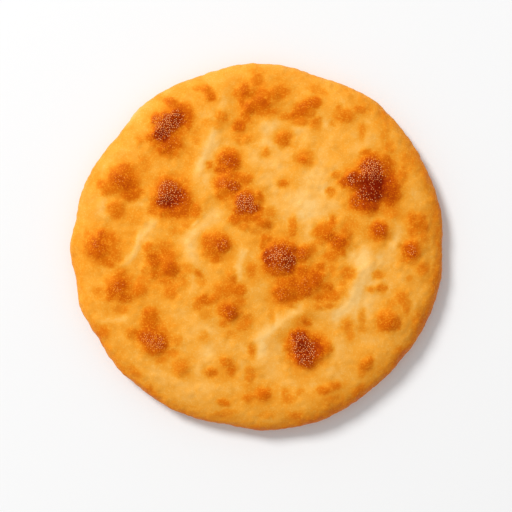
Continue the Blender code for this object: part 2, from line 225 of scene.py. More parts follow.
# %% The lower spots
LOWER = (
    (-82.0, -45.8, 4.8, 4.8, 0, 0.43), (-83.5, -51.0, 1.6, 2.6, 0, 0.48),
    (-65.0, -67.0, 5.4, 2.8, -42, 0.40), (-57.0, -76.5, 4.4, 2.2, -38, 0.42),
    (-40.5, -64.6, 5.6, 5.8, 0, 0.40), (-24.0, -67.2, 4.8, 3.0, -10, 0.48),
    (-16.0, -61.5, 4.4, 3.2, -20, 0.44), (-13.0, -66.0, 2.9, 3.8, 0, 0.48),
    (-15.0, -64.0, 7.0, 6.0, 0, 0.31), (-2.2, -55.5, 2.4, 4.4, 0, 0.42), (-3.0, -68.6, 3.6, 5.2, 0, 0.42),
    (-17.4, -83.2, 3.9, 2.5, -12, 0.48), (3.0, -79.0, 5.6, 4.2, 0, 0.46), (4.6, -78.6, 4.2, 4.4, 0, 0.51),
    (-4.2, -81.0, 4.2, 3.0, 0, 0.43), (0.5, -79.8, 10.0, 5.0, 0, 0.33), (15.4, -78.2, 2.2, 2.8, 0, 0.40),
    (23.2, -78.0, 1.7, 3.2, -35, 0.37), (36.6, -77.0, 4.2, 2.8, 0, 0.48), (42.4, -74.6, 4.2, 2.8, 8, 0.46),
    (40.0, -82.0, 7.0, 3.2, 20, 0.36), (21.0, -90.0, 4.6, 2.4, 0, 0.43), (6.0, -90.0, 6.0, 2.5, 0, 0.33),
    (-17.0, -89.0, 9.0, 2.6, 8, 0.36), (-28.0, -48.0, 4.0, 3.0, 0, 0.32), (-3.5, -74.4, 3.6, 2.6, 0, 0.33),
    (-13.0, -47.0, 5.0, 3.0, 0, 0.33), (17.0, -81.5, 4.5, 3.4, 0, 0.38),
)
print(len(LOWER), "spots")

# %% The lower right spots
LOWER_RIGHT = (
    (28.6, -55.2, 10.8, 10.8, 0, 0.48), (25.8, -55.5, 6.2, 10.0, 22, 0.90),
    (32.0, -54.0, 5.0, 7.2, 0, 0.76), (23.2, -48.4, 5.2, 4.8, 0, 0.84), (37.5, -54.0, 4.0, 4.4, 0, 0.51),
    (19.6, -53.5, 4.4, 8.4, 0, 0.57), (25.8, -60.8, 6.0, 3.4, 0, 0.70), (29.5, -64.0, 4.0, 2.0, 0, 0.43),
    (82.8, -1.4, 5.6, 5.6, 0, 0.59), (83.4, -2.2, 4.2, 4.6, 0, 0.63), (79.4, -3.0, 2.0, 3.0, 0, 0.33),
    (81.5, -7.4, 4.4, 2.6, 0, 0.44), (89.5, -12.0, 4.0, 4.0, 0, 0.44), (82.0, -17.0, 2.2, 2.2, 0, 0.34),
    (78.0, -27.0, 4.2, 4.4, 0, 0.42), (72.5, -30.5, 3.4, 3.6, 0, 0.36), (80.5, -32.5, 3.0, 5.6, 0, 0.39),
    (70.6, -39.6, 7.8, 6.4, 0, 0.46), (70.0, -42.2, 5.8, 3.6, 0, 0.52), (74.5, -41.0, 3.6, 3.8, 0, 0.53),
    (66.5, -39.0, 3.2, 3.0, 0, 0.41), (49.2, -42.4, 3.6, 4.4, 0, 0.39), (50.6, -47.0, 2.6, 3.6, 0, 0.36),
    (56.8, -38.0, 2.6, 5.0, 0, 0.34), (58.5, -63.8, 4.8, 4.0, 0, 0.46), (60.4, -60.8, 2.2, 3.0, 0, 0.48),
    (77.0, -57.0, 3.2, 5.2, -40, 0.38), (55.0, -77.0, 5.2, 2.6, 35, 0.45), (57.4, -68.2, 3.0, 2.8, 0, 0.38),
    (86.0, -38.0, 2.6, 6.0, -20, 0.39), (56.5, -43.8, 3.6, 3.0, 0, 0.33),
)
print(len(LOWER_RIGHT), "spots")

# %% All the spots on the top
TOP_SPOTS = UPPER_LEFT + UPPER_MIDDLE + UPPER_RIGHT + MIDDLE + LEFT + LOWER + LOWER_RIGHT
print(len(TOP_SPOTS), "browned spots on the top")

# %% [markdown]
# The underside fried as well, so it has blisters of its own. Nobody picked their places, so a seeded
# draw scatters them: each is a wide, faint ellipse with a few smaller, darker ones on it, and single
# specks lie between them.

# %% How the underside's spots vary
UNDER_BLISTERS = 30
UNDER_SPECKS = 60
UNDER_REACH = 90.0
BLISTER_SIZES = (5.0, 11.0)
BLISTER_SHAPES = (0.75, 1.1)
BLISTER_BAKES = (0.58, 0.86)
HALO_SHARE = 0.66
CORES = 4
CORE_REACH = 0.5
CORE_SIZES = (0.25, 0.5)
CORE_SHARES = (0.75, 1.0)
SPECK_SIZES = (1.6, 4.4)
SPECK_BAKES = (0.36, 0.52)
SPECK_SHAPES = (0.7, 1.3)
HALF_TURN = 180.0
print(UNDER_BLISTERS, "blisters of", 1 + CORES, "spots each, and", UNDER_SPECKS, "specks")


# %% Scatter the underside's spots
def place_in_disc(draw, reach):
    """A seeded place, drawn evenly from a disc."""
    angle = draw.uniform(0.0, 2.0 * math.pi)
    out = reach * math.sqrt(draw.random())
    return out * math.cos(angle), out * math.sin(angle)


def scattered_spots(blisters, specks, reach, seed):
    """Blisters, each a faint halo with darker cores on it, and single specks between them."""
    draw = random.Random(seed)
    spots = []
    for _ in range(blisters):
        x, y = place_in_disc(draw, reach)
        size = draw.uniform(*BLISTER_SIZES)
        bake = draw.uniform(*BLISTER_BAKES)
        spots.append((x, y, size, size * draw.uniform(*BLISTER_SHAPES), 0.0, HALO_SHARE * bake))
        for _ in range(CORES):
            aside_x, aside_y = place_in_disc(draw, CORE_REACH * size)
            core = size * draw.uniform(*CORE_SIZES)
            spots.append((x + aside_x, y + aside_y, core, core * draw.uniform(*SPECK_SHAPES),
                          draw.uniform(0.0, HALF_TURN), bake * draw.uniform(*CORE_SHARES)))
    for _ in range(specks):
        x, y = place_in_disc(draw, reach)
        size = draw.uniform(*SPECK_SIZES)
        spots.append((x, y, size, size * draw.uniform(*SPECK_SHAPES), draw.uniform(0.0, HALF_TURN),
                      draw.uniform(*SPECK_BAKES)))
    return spots


UNDER_SPOTS = scattered_spots(UNDER_BLISTERS, UNDER_SPECKS, UNDER_REACH, seed=11)
print(len(UNDER_SPOTS), "browned spots underneath")

# %% [markdown]
# Between the spots the dough is cream to gold. Folds and puffed-up places stand clear of the hot
# oil a little longer and stay palest; their paleness is partly that and partly painted highlight
# where they catch the main light, and a few patches paint light onto fold slopes that lie in shade.
# They are three shorter lists: soft folds as lines, puffed places as ellipses, and the thin, crisp
# creases where the skin pinched as the bread settled, whose pale lines are painted highlights.
# Each has a strength, and above 1 it stays pale farther from its middle.

# %% The pale folds: (half width, strength, points along the fold)
PALE_FOLDS = (
    # Partly pale dough, partly painted highlight where the folds catch the main light.
    (3.0, 0.95, ((-20.5, 68.0), (-23.0, 61.0), (-25.5, 53.0), (-30.5, 43.0), (-33.5, 34.0))),
    (4.6, 1.0, ((-23.0, 17.0), (-27.5, 11.0), (-32.0, 5.0), (-34.0, 0.0), (-35.8, -5.0))),
    (2.6, 1.0, ((-55.0, 13.0), (-60.0, 8.0), (-62.0, 1.0), (-66.0, -5.0), (-69.0, -8.0))),
    (4.6, 1.1, ((58.0, -3.0), (57.5, -10.0), (56.4, -17.0), (54.0, -25.0), (49.5, -32.0), (43.0, -37.0))),
    (3.8, 1.0, ((22.0, -33.0), (15.0, -37.5), (8.0, -43.0), (3.0, -49.0), (2.6, -57.0))),
    (2.8, 1.3, ((-6.5, -3.0), (-8.5, -10.0), (-9.5, -15.5))),
    (3.0, 0.4, ((74.0, 60.0), (80.0, 48.0), (88.0, 33.0))),
    (1.8, 0.75, ((-82.0, -39.6), (-70.0, -38.8))),
    (3.0, 0.3, ((-87.0, 30.0), (-92.0, 18.0), (-94.0, 4.0), (-93.0, -8.0))),
    (4.0, 0.35, ((-64.0, -59.0), (-52.0, -66.5), (-38.0, -73.0), (-26.0, -76.0))),
)
print(len(PALE_FOLDS), "pale folds")

# %% The pale patches: (x, y, half width, half height, strength)
# Partly pale dough, partly painted highlight; a few patches paint light onto fold slopes in shade.
PALE_PATCHES = (
    (-24.0, 52.0, 5.0, 8.0, 1.5), (-14.0, 54.0, 7.0, 2.4, 0.9), (-25.5, 35.5, 4.0, 4.0, 1.2),
    (-35.0, -23.5, 2.4, 4.0, 0.3), (-54.0, 8.0, 6.0, 3.6, 0.5), (-61.0, -9.5, 1.8, 5.4, 0.6),
    (-40.0, -36.0, 7.0, 6.0, 0.6), (7.5, 63.5, 6.5, 4.6, 1.0), (5.0, 56.5, 6.0, 4.5, 0.8),
    (21.5, 60.0, 3.6, 5.0, 1.0), (12.0, 44.5, 8.0, 5.0, 0.3), (23.0, 23.0, 14.0, 9.0, 0.95),
    (33.0, 42.0, 7.0, 12.0, 0.9), (37.0, 31.0, 5.0, 5.0, 0.9), (30.0, 18.0, 12.0, 7.0, 1.1),
    (27.0, 57.0, 6.0, 5.0, 0.7), (29.2, 9.0, 4.0, 7.0, 1.15), (14.0, 15.0, 4.5, 4.5, 0.5),
    (58.0, -4.0, 8.0, 5.0, 0.3), (61.0, -15.0, 8.0, 9.0, 1.1), (59.0, -31.0, 5.0, 8.0, 1.0),
    (51.0, -41.0, 5.0, 5.0, 0.35), (42.0, -55.0, 4.0, 8.0, 0.9), (36.0, -67.0, 12.0, 4.5, 0.8),
    (12.0, -66.0, 6.0, 5.0, 0.7), (20.0, -37.0, 4.0, 3.0, 0.6), (11.0, -52.0, 5.0, 6.0, 0.7),
    (-14.5, 13.0, 2.4, 8.0, 0.4), (-7.0, -65.0, 3.4, 4.6, 0.8), (-18.0, 78.0, 3.0, 4.0, 0.7),
    (-25.5, -57.0, 5.0, 5.5, 0.8), (-31.0, -66.0, 4.0, 4.0, 0.7), (-60.5, 24.0, 4.0, 4.0, 0.8),
    (-59.0, -56.5, 6.5, 5.0, 1.1), (-70.5, -49.0, 3.0, 4.0, 0.5), (-21.0, -37.0, 2.4, 3.0, 0.5),
    (-79.0, 41.5, 4.4, 4.6, 1.3), (-81.2, 20.5, 4.6, 6.0, 1.1), (-57.0, 75.0, 5.0, 4.0, 0.9),
    (-66.0, 72.0, 8.0, 6.0, 0.9), (-50.0, 84.0, 8.0, 3.0, 0.4), (60.5, 56.0, 4.6, 7.0, 0.7),
    (58.5, 67.0, 4.0, 2.6, 0.5), (42.0, 41.2, 4.6, 5.6, 0.9), (85.0, 28.0, 6.0, 8.0, 0.6),
    (74.0, 3.0, 4.6, 7.0, 1.2), (70.0, -5.0, 6.0, 5.0, 0.8), (86.0, -29.0, 4.0, 6.0, 0.2),
    (52.0, 60.0, 3.0, 4.0, 0.4), (-2.0, 47.5, 6.0, 5.5, 0.8), (16.5, -42.5, 4.5, 4.5, 1.3),
    (54.0, -36.0, 4.0, 5.0, 1.0), (32.0, -43.0, 4.0, 3.0, 0.8), (-36.0, 0.0, 5.0, 6.0, 1.2),
    (60.0, -24.0, 5.0, 4.0, 0.6), (-6.5, -54.5, 3.0, 3.0, 0.6), (-0.2, -5.0, 3.4, 4.6, 1.1),
    (-34.0, -80.0, 5.0, 4.0, 0.5), (-36.0, -72.5, 4.0, 3.4, 0.5), (-30.5, 30.5, 3.4, 4.0, 0.8),
    (7.0, 36.0, 9.0, 4.0, 0.7), (12.0, 31.0, 5.0, 4.0, 0.9), (16.0, 50.5, 5.0, 4.0, 0.6),
    (29.5, 22.0, 7.0, 5.5, 1.45), (24.0, 4.0, 3.0, 3.0, 0.6), (37.0, 66.0, 3.0, 3.0, 0.6),
    (-36.5, -18.5, 4.4, 3.4, 1.1), (18.0, -72.0, 5.0, 3.0, 0.7), (30.5, -73.0, 4.0, 2.6, 0.7),
    (6.0, -91.5, 6.0, 2.4, 0.6), (-66.0, 20.0, 3.0, 3.0, 0.7), (54.0, 52.0, 5.0, 5.0, 0.8),
    (-27.0, 69.0, 4.4, 5.0, 0.7), (-32.4, 7.0, 5.4, 4.4, 1.3), (-24.0, 67.0, 3.0, 4.0, 0.8),
    (-56.5, 42.0, 3.0, 3.0, 0.5), (66.5, -6.5, 3.6, 3.6, 1.0), (-37.0, 57.0, 3.0, 4.0, 0.9),
    (-35.0, -45.0, 8.0, 4.0, 0.4), (-26.0, -46.0, 4.0, 3.0, 0.7), (-13.0, -76.0, 5.0, 3.0, 0.5),
    (62.0, -50.0, 5.0, 5.0, 0.5), (-36.0, 78.0, 4.0, 4.0, 0.5), (-37.0, -42.0, 5.0, 4.0, 0.5),
    (42.0, -42.0, 3.5, 3.5, 0.6), (-58.5, 63.0, 3.5, 3.5, 0.8), (-33.0, 1.5, 3.0, 3.5, 1.4),
    (-59.0, 3.5, 2.6, 3.0, 0.9), (51.5, -3.5, 3.5, 3.5, 0.8), (12.0, 5.0, 3.5, 3.0, 0.5),
    (4.0, -20.0, 3.0, 3.0, 0.5), (41.5, 21.5, 4.0, 4.0, 0.8), (24.0, 18.0, 4.4, 3.6, 1.35),
    (36.0, -36.5, 4.0, 3.0, 0.5), (11.5, 53.5, 3.5, 3.0, 0.6), (48.5, -25.0, 3.2, 3.6, 0.9),
)
print(len(PALE_PATCHES), "pale patches")

# %% The creases: (half width, strength, points along the crease)
# Their pale lines are painted highlights along the crests; the same lines also raise a low ridge.
CREASES = (
    (1.7, 0.42, ((-23.5, 59.0), (-25.0, 53.0), (-28.0, 48.0), (-30.0, 43.0), (-32.5, 37.5))),
    (1.2, 0.90, ((-60.0, 14.0), (-61.0, 9.5), (-62.8, 5.0), (-62.6, 1.0), (-64.6, -2.5),
                 (-67.5, -7.0), (-72.0, -10.0))),
    (0.8, 0.70, ((-33.8, 11.0), (-31.0, 14.5))),
    (2.0, 0.40, ((-28.5, 11.5), (-34.0, 7.0), (-36.5, 2.0), (-36.0, -3.0))),
    (1.5, 0.50, ((55.5, -13.0), (54.0, -20.0), (52.0, -26.0), (49.0, -31.0), (45.0, -34.5))),
    (1.5, 0.42, ((20.5, -35.2), (14.5, -39.8), (9.5, -44.3), (4.5, -47.8), (-1.5, -50.8))),
)
print(len(CREASES), "creases")

# %% [markdown]
# On most of the brown spots tiny bubbles burst, which left the crust gritty. The grit doesn't follow
# the browning exactly, mostly lying on a blister's side towards the upper left, where the main light
# falls, so its pale crumbs there are partly painted highlight. It has a list too.

# %% The gritty places: (x, y, half width, half height, turn in degrees, share)
GRITTY = (
    (-49.0, 67.8, 7.8, 8.6, 0, 1.0), (-51.0, 60.0, 4.2, 4.2, 0, 0.6), (-46.0, 56.0, 6.4, 4.4, 0, 0.4),
    (-38.5, 69.0, 3.0, 3.0, 0, 0.5), (-76.8, 37.0, 4.6, 6.8, 0, 0.6), (-71.0, 41.0, 4.0, 3.4, 0, 0.3),
    (-48.0, 29.8, 7.4, 8.0, 0, 0.9), (-45.5, 23.4, 5.6, 3.4, 0, 0.45), (-47.0, 37.0, 6.0, 3.0, 0, 0.5),
    (-38.0, 27.0, 4.4, 6.0, 0, 0.25), (-18.0, 46.5, 4.0, 5.6, 0, 0.5), (-15.0, 34.0, 7.8, 6.0, 0, 0.6),
    (-5.5, 24.0, 6.8, 6.6, 0, 1.0), (-10.0, 19.5, 4.0, 4.4, 0, 0.7), (-10.5, 14.5, 4.0, 3.4, 0, 0.3),
    (61.8, 40.6, 6.6, 6.4, 0, 1.0), (50.6, 37.0, 4.6, 4.0, 0, 0.7), (61.0, 28.2, 5.0, 3.6, 0, 0.8),
    (62.0, 48.0, 7.0, 4.4, 0, 0.5), (54.0, 25.6, 4.0, 4.4, 0, 0.4), (73.0, 34.0, 4.0, 4.0, 0, 0.1),
    (24.5, 47.5, 4.0, 3.2, 0, 0.5), (5.2, 4.2, 3.2, 2.8, 0, 0.5), (66.2, 8.6, 3.2, 3.2, 0, 0.5),
    (40.0, 5.5, 4.0, 4.2, 0, 0.5), (34.5, 9.0, 4.0, 3.6, 0, 0.3), (84.0, 13.0, 5.0, 5.0, 0, 0.3),
    (18.0, 74.5, 3.6, 2.4, 0, 0.4), (26.0, 76.5, 4.0, 2.8, 0, 0.4), (14.0, -4.8, 6.4, 7.8, 0, 1.0),
    (10.5, -13.4, 7.0, 3.2, 0, 0.5), (4.0, -3.0, 2.4, 4.6, 0, 0.15), (24.8, -3.8, 5.0, 4.6, 0, 0.6),
    (13.6, -20.0, 4.8, 5.0, 0, 0.5), (14.0, -25.5, 4.0, 3.4, 0, 0.3), (25.0, -16.0, 4.8, 7.4, 0, 0.4),
    (24.5, -24.0, 3.6, 3.2, 0, 0.4), (35.5, -28.0, 5.4, 3.2, 0, 0.4), (-22.5, 2.6, 6.8, 6.4, 0, 0.9),
    (-18.0, 2.0, 4.2, 5.0, 0, 0.5), (-27.0, -28.2, 4.8, 3.6, 0, 0.4), (-17.5, -33.4, 4.2, 3.8, 0, 0.6),
    (-13.0, -34.0, 3.4, 4.2, 0, 0.4), (-86.0, 2.2, 4.6, 3.4, 0, 0.6), (-81.2, 7.6, 3.0, 4.0, 0, 0.5),
    (-78.0, -9.4, 2.8, 2.4, 0, 0.5), (-77.0, -23.4, 4.0, 3.8, 0, 0.7), (-70.6, -26.2, 4.4, 3.6, 0, 0.7),
    (-57.5, -1.0, 4.2, 3.4, 0, 0.5), (-54.6, -7.4, 4.4, 4.4, 0, 0.6), (-54.0, -14.4, 5.4, 3.8, 0, 0.6),
    (-62.0, -43.5, 2.8, 3.2, 0, 0.4), (-55.0, -50.5, 7.4, 7.8, 0, 0.9), (25.2, -55.5, 6.2, 10.3, 22, 0.75),
    (18.0, -54.0, 4.8, 8.4, 0, 0.6), (24.0, -45.4, 6.0, 3.4, 0, 0.25), (27.0, -65.0, 6.4, 3.0, 0, 0.4),
    (83.0, -0.4, 4.0, 3.2, 0, 0.6), (78.6, -1.2, 2.8, 3.4, 0, 0.3), (67.0, -40.4, 5.0, 4.8, 0, 0.6),
    (37.0, -76.2, 4.0, 2.4, 0, 0.4), (4.4, -76.4, 4.2, 2.8, 0, 0.4), (-15.0, -61.5, 4.4, 3.2, 0, 0.3),
    (-24.0, -66.6, 4.0, 2.4, 0, 0.3), (-8.2, 81.5, 2.8, 3.2, 0, 0.3),
)
print(len(GRITTY), "gritty places")

# %% [markdown]
# ## From lists to a baked skin
#
# The lists become two values at every point of the net: how far it baked, and how gritty it is. A
# spot isn't a true ellipse, so every point is first pushed aside a little by smooth noise, which
# frays the edges. Spots that overlap are added as eighth powers, and the eighth root of the sum
# acts like the largest of them but leaves no crease between them.


# %% Helpers for points
def points_of(mesh):
    """All points of a mesh as rows of x, y, z in millimetres."""
    flat = np.empty(len(mesh.vertices) * 3)
    mesh.vertices.foreach_get("co", flat)
    return flat.reshape(-1, 3) / MM


def normals_of(mesh):
    """The way the mesh faces at each point, as rows of x, y, z."""
    flat = np.empty(len(mesh.vertices) * 3)
    mesh.vertex_normals.foreach_get("vector", flat)
    return flat.reshape(-1, 3)


# %% Helpers for noise
# How far the noise pushes a point aside, and how long its lumps are, in millimetres.
EDGE_STRAYS = ((0.5, 9.0), (0.8, 3.6), (0.8, 1.8))
VIEW_HEIGHT = 650.0
VIEW_LEVEL = 7.0
SEED_SHIFT = (3.7, 1.9, 5.3)


def soft_noise(points, length, seed):
    """Smooth noise from about -1 to 1 at each point, with lumps as long as length."""
    shift = Vector([seed * step for step in SEED_SHIFT])
    return np.array([noise.noise(Vector(p) / length + shift) for p in points])


def layered_noise(points, layers, seed):
    """Noise from layers of (strength, length), each with a seed of its own."""
    return sum(strength * soft_noise(points, length, seed + step)
               for step, (strength, length) in enumerate(layers))


def soft_step(values, low, high):
    """0 below low, 1 above high, and a soft step between."""
    share = np.clip((values - low) / (high - low), 0.0, 1.0)
    return share * share * (3.0 - 2.0 * share)


def strayed(points, seed, strays):
    """The points' x and y as the lists mean them, frayed by noise so that no edge is a clean curve.

    The lists give places as they look from straight above, where a higher point looks farther out.
    """
    nearer = 1.0 + (points[:, 2] - VIEW_LEVEL) / VIEW_HEIGHT
    x = points[:, 0] * nearer
    y = points[:, 1] * nearer
    for step, (reach, length) in enumerate(strays):
        x += reach * soft_noise(points, length, seed + 2 * step)
        y += reach * soft_noise(points, length, seed + 2 * step + 1)
    return x, y


# %% A helper for spots
JOIN_POWER = 8.0


def spot_bake(x, y, spots, spread, edge_power):
    """How far the spots bake each point, with overlapping spots joined smoothly."""
    total = np.zeros_like(x)
    for middle_x, middle_y, half_width, half_height, turn, bake in spots:
        cosine = math.cos(math.radians(turn))
        sine = math.sin(math.radians(turn))
        along = ((x - middle_x) * cosine + (y - middle_y) * sine) / (half_width * spread)
        across = ((y - middle_y) * cosine - (x - middle_x) * sine) / (half_height * spread)
        from_middle = np.hypot(along, across)
        total += (bake / (1.0 + from_middle ** edge_power)) ** JOIN_POWER
    return total ** (1.0 / JOIN_POWER)


# %% Helpers for lines and patches
def line_nearness(x, y, half_width, path):
    """1 on a line through the path's points, falling softly to 0 beside it."""
    nearest = np.full_like(x, np.inf)
    for (ax, ay), (bx, by) in zip(path, path[1:]):
        run_x, run_y = bx - ax, by - ay
        share = ((x - ax) * run_x + (y - ay) * run_y) / (run_x ** 2 + run_y ** 2)
        share = np.clip(share, 0.0, 1.0)
        nearest = np.minimum(nearest, np.hypot(x - ax - share * run_x, y - ay - share * run_y))
    return np.exp(-(nearest / half_width) ** 2)


def strongest_line(x, y, lines):
    """The most that any of the lines gives each point."""
    strongest = np.zeros_like(x)
    for half_width, strength, path in lines:
        strongest = np.maximum(strongest, strength * line_nearness(x, y, half_width, path))
    return strongest


def strongest_patch(x, y, patches):
    """The most that any of the patches gives each point."""
    strongest = np.zeros_like(x)
    for middle_x, middle_y, half_width, half_height, strength in patches:
        reach = np.hypot((x - middle_x) / half_width, (y - middle_y) / half_height)
        strongest = np.maximum(strongest, strength * np.exp(-reach ** 2))
    return strongest


# %% Bring the spots to the skin
# A spot's edge is sharper with a higher power. Warmth is the wide, soft halo round the same spots.
SPOT_SPREAD = 1.05
SPOT_EDGE_POWER = 4.2
WARMTH_SPREAD = 1.65
WARMTH_EDGE_POWER = 2.8
TOP_HEIGHTS = (4.5, 8.5)
UNDER_RIM = (90.0, 98.0)

points = points_of(skin.data)
normals = normals_of(skin.data)
from_centre = np.hypot(points[:, 0], points[:, 1])
faces_up = soft_step(points[:, 2], *TOP_HEIGHTS)
rim_free = 1.0 - soft_step(from_centre, *UNDER_RIM)
x, y = strayed(points, seed=1, strays=EDGE_STRAYS)


def both_sides(spread, edge_power):
    """The top's spots above and the underside's below, which stay clear of the rim."""
    top = spot_bake(x, y, TOP_SPOTS, spread, edge_power)
    under = spot_bake(x, y, UNDER_SPOTS, spread, edge_power)
    return top * faces_up + under * (1.0 - faces_up) * rim_free


spots = both_sides(SPOT_SPREAD, SPOT_EDGE_POWER)
warmth = both_sides(WARMTH_SPREAD, WARMTH_EDGE_POWER)
print("spots bake up to", round(float(spots.max()), 2))

# %% [markdown]
# Folds and patches fray like the spots. The creases are pushed aside by the longest noise alone, so
# they stay crisp. Where one lies on a fold, it adds to it.

# %% Bring the pale places to the skin
clean_x, clean_y = strayed(points, seed=1, strays=EDGE_STRAYS[:1])
# Painted highlight: the creases' pale lines, which also raise a low ridge below.
crease_highlight_and_ridge = strongest_line(clean_x, clean_y, CREASES) * faces_up
pale = np.maximum(strongest_line(x, y, PALE_FOLDS), strongest_patch(x, y, PALE_PATCHES))
pale = pale * faces_up + crease_highlight_and_ridge
print("pale up to", round(float(pale.max()), 2))

# %% [markdown]
# Between the spots the gold deepens in soft clouds, round each blister, and a little along the rim.
# On the rim's side towards +X and -Y, away from the main light, it deepens more: that is painted
# shade. The brim is the rim's outermost band: a little paler all round, with painted shade on that
# side. The clouds are noise that other noise has pushed about, which draws them out into streaks
# like those in stretched dough.

# %% Deepen the gold between the spots
DRIFT = 6.0
DRIFT_LENGTH = 15.0
DRIFT_SEEDS = (24, 25, 26)
CLOUDS = ((0.5, 14.0), (0.35, 6.0), (0.2, 2.6))
RIM = (88.0, 96.0)
BRIM = (93.0, 98.0)
# Painted shade: the rim and the brim darken on their side away from the main light.
PAINTED_SHADE_WAY = (0.8, -1.2)
PAINTED_SHADE_SPAN = (-140.0, 140.0)
BASE_GOLD = 0.18
CLOUD_GOLD = 0.12
WARMTH_GOLD = 0.40
WARMTH_CURVE = 1.5
PALE_LOSS = 0.15
RIM_GOLD = 0.04
RIM_PAINTED_SHADE = 0.05
BRIM_GOLD = -0.03
BRIM_PAINTED_SHADE = 0.19
GOLD_LIMITS = (0.02, 0.5)

drift = np.stack([soft_noise(points, DRIFT_LENGTH, seed) for seed in DRIFT_SEEDS], axis=1)
clouds = layered_noise(points + DRIFT * drift, CLOUDS, seed=21)
rim = soft_step(from_centre, *RIM)
brim = soft_step(from_centre, *BRIM)
# How far each point lies on the rim's side away from the main light, which gets painted shade.
painted_shade_side = soft_step(points[:, :2] @ PAINTED_SHADE_WAY, *PAINTED_SHADE_SPAN)
gold = BASE_GOLD + CLOUD_GOLD * clouds + WARMTH_GOLD * warmth ** WARMTH_CURVE - PALE_LOSS * pale
gold += (RIM_GOLD + RIM_PAINTED_SHADE * painted_shade_side) * rim + (BRIM_GOLD + BRIM_PAINTED_SHADE * painted_shade_side) * brim
gold = np.clip(gold, *GOLD_LIMITS)
bake = (gold ** JOIN_POWER + spots ** JOIN_POWER) ** (1.0 / JOIN_POWER)
print("bake from", round(float(bake.min()), 2), "to", round(float(bake.max()), 2))

# %% Find where the crust is gritty
GRIT_EDGE_POWER = 6.0
GRIT_BAKE = (0.43, 0.68)

gritty = spot_bake(x, y, GRITTY, SPOT_SPREAD, GRIT_EDGE_POWER) * faces_up * soft_step(bake, *GRIT_BAKE)
print("gritty on", round(100.0 * float((gritty > 0.5).mean()), 1), "% of the net's points")

# %% [markdown]
# ## Relief
#
# The solid already carries the large blisters and the folds. The skin adds what is smaller: a low
# rise under every browned spot and every crease, a scatter of small flat bubbles, the fine wrinkles
# of a skin that puffed up and sank again, and a slightly crumpled rim. A bump texture would be
# lighter but leaves the outline smooth, so the net's points themselves move. Near the floor they
# move less and less, so that the flat spot that the bread rests on stays flat.

# %% Bubbles, wrinkles and crumples
BUBBLE_COUNT = 900
BUBBLE_REACH = 97.0
BUBBLE_SIZES = (1.4, 3.0)
BUBBLE_SLOPE = 0.11
BUBBLE_HEIGHTS = (0.5, 1.3)
DOME_CURVE = 1.5
WRINKLES = ((0.16, 8.0), (0.06, 3.2))
RIM_CRUMPLES = ((0.40, 5.0), (0.28, 2.6))


def bubble_rise(points, count, reach, seed):
    """Low round bubbles at seeded places, given by their height above the skin."""
    draw = random.Random(seed)
    rise = np.zeros(len(points))
    order = np.argsort(points[:, 0])
    sorted_x = points[order, 0]
    for _ in range(count):
        middle_x, middle_y = place_in_disc(draw, reach)
        size = draw.uniform(*BUBBLE_SIZES)
        height = size * BUBBLE_SLOPE * draw.uniform(*BUBBLE_HEIGHTS)
        first = np.searchsorted(sorted_x, middle_x - size)
        last = np.searchsorted(sorted_x, middle_x + size)
        near = order[first:last]
        gap = np.hypot(points[near, 0] - middle_x, points[near, 1] - middle_y) / size
        dome = height * np.maximum(1.0 - gap ** 2, 0.0) ** DOME_CURVE
        rise[near] = np.maximum(rise[near], dome)
    return rise


bubbles = bubble_rise(points, BUBBLE_COUNT, BUBBLE_REACH, seed=5)
wrinkles = layered_noise(points, WRINKLES, seed=40)
crumples = layered_noise(points, RIM_CRUMPLES, seed=50) * rim
print(BUBBLE_COUNT, "small bubbles, up to", round(float(bubbles.max()), 2), "mm high")

# %% Raise the skin
SPOT_RISE = 0.55
RISING_BAKE = (0.25, 0.75)
CREASE_RISE = 0.35
LIFTING_HEIGHTS = (0.2, 1.7)

rise = SPOT_RISE * soft_step(spots, *RISING_BAKE) + bubbles + wrinkles + crumples
rise += CREASE_RISE * crease_highlight_and_ridge
moved = points + normals * (rise * soft_step(points[:, 2], *LIFTING_HEIGHTS))[:, None]
moved[:, 2] = np.maximum(moved[:, 2], 0.0)
skin.data.vertices.foreach_set("co", (moved * MM).ravel())
skin.data.shade_smooth()
skin.data.update()
print("the highest point is at", round(float(moved[:, 2].max()), 2), "mm")


# %% Keep the values on the skin
def store(mesh, name, values):
    """Keep one value for each point as an attribute, which materials and nodes can read."""
    attribute = mesh.attributes.new(name, "FLOAT", "POINT")
    attribute.data.foreach_set("value", values.astype(np.float32))


store(skin.data, "bake", bake)
store(skin.data, "gritty", gritty)
print("bake and gritty are kept on the skin, for the materials and the crumbs")

# %% [markdown]
# ## The crust's colours
#
# One node group turns the baked value into colour, from cream through gold and orange to dark
# brown. Both the skin and the tiny crumbs on it use the group, so they always agree.


# %% Helpers for node trees
def calc(tree, operation, *values):
    """A math node on numbers or sockets, and the socket with its result."""
    node = tree.nodes.new("ShaderNodeMath")
    node.operation = operation
    for socket, value in zip(node.inputs, values):
        if isinstance(value, (int, float)):
            socket.default_value = value
        else:
            tree.links.new(value, socket)
    return node.outputs[0]


def between(tree, share, low, high):
    """A value that goes from low to high as the share goes from 0 to 1."""
    return calc(tree, "MULTIPLY_ADD", share, high - low, low)


def eased(tree, value, low, high):
    """0 where value is below low, 1 above high, and a soft step between."""
    node = tree.nodes.new("ShaderNodeMapRange")
    node.interpolation_type = "SMOOTHSTEP"
    node.inputs["From Min"].default_value = low
    node.inputs["From Max"].default_value = high
    tree.links.new(value, node.inputs["Value"])
    return node.outputs["Result"]


def new_group(name, inputs, outputs):
    """A shader node group with its sockets, and its input and output nodes."""
    group = bpy.data.node_groups.new(name, "ShaderNodeTree")
    for label, kind in inputs:
        group.interface.new_socket(label, in_out="INPUT", socket_type=kind)
    for label, kind in outputs:
        group.interface.new_socket(label, in_out="OUTPUT", socket_type=kind)
    return group, group.nodes.new("NodeGroupInput"), group.nodes.new("NodeGroupOutput")


